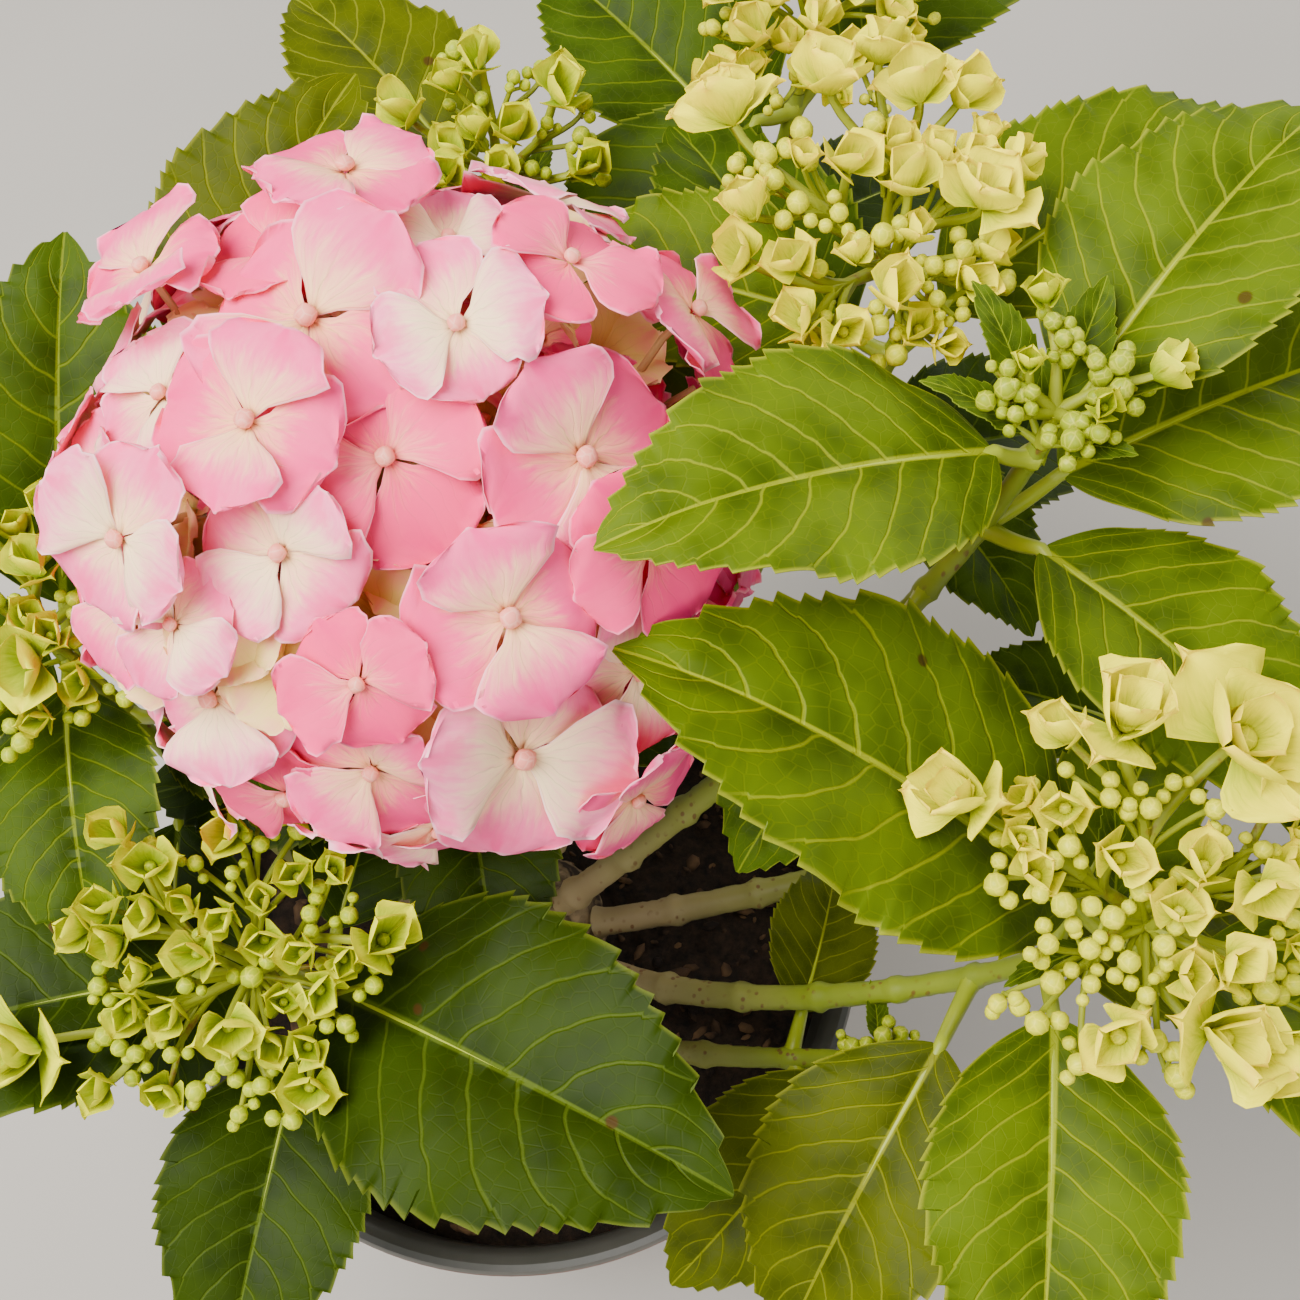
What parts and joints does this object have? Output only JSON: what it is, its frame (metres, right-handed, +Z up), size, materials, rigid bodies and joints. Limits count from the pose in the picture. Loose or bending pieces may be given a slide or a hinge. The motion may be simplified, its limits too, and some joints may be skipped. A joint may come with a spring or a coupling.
{
  "type": "potted hydrangea shrub",
  "caption": "Young mophead hydrangea in a nursery pot: upright canes with toothed leaves, an open pink head and cream and lime heads still opening.",
  "frame": {"origin": "middle of the pot's flat underside, where the pot stands", "axes": "+Z up; +X to the right and -Y towards whoever looks at the plant from the picture's side"},
  "size_m": [0.4739, 0.4197, 0.4024],
  "materials": {
    "pot_plastic": "moulded polypropylene, faintly glossy, terracotta brown outside and dark grey inside",
    "peat": "damp fibrous peat, matt",
    "old_wood": "old woody crown, matt and fissured",
    "cane_bark": "smooth green shoots flecked with brown",
    "leaf": "satin leaf with paler veins and margin",
    "pink_blossom": "thin matt sepals, pink at the edge and cream in the middle",
    "cream_blossom": "matt creamy yellow sepals, still half open",
    "lime_blossom": "matt yellow-green sepals, still half open",
    "green_buds": "matt green round buds"
  },
  "bodies": {
    "root": {"pot": "pot_plastic", "potting_soil": "peat", "root_crown": "old_wood", "cane_middle": "cane_bark", "cane_front_left": "cane_bark", "cane_left": "cane_bark", "cane_back_right": "cane_bark", "cane_right": "cane_bark", "cane_front_right": "cane_bark", "cane_low_right": "cane_bark", "cane_back": "cane_bark", "cane_back_left": "cane_bark", "cane_far_back": "cane_bark", "cane_side_right": "cane_bark", "corymb_front_left": "lime_blossom", "corymb_left": "lime_blossom", "corymb_back_right": "cream_blossom", "corymb_front_right": "cream_blossom", "corymb_right": "green_buds", "corymb_low_right": "green_buds", "corymb_back": "lime_blossom", "corymb_far_back": "cream_blossom", "mophead_pink": "pink_blossom", "foliage_middle": "leaf", "foliage_front_left": "leaf", "foliage_left": "leaf", "foliage_back_right": "leaf", "foliage_right": "leaf", "foliage_front_right": "leaf", "foliage_low_right": "leaf", "foliage_back": "leaf", "foliage_back_left": "leaf", "foliage_far_back": "leaf", "foliage_side_right": "leaf"}
  },
  "joints": []
}
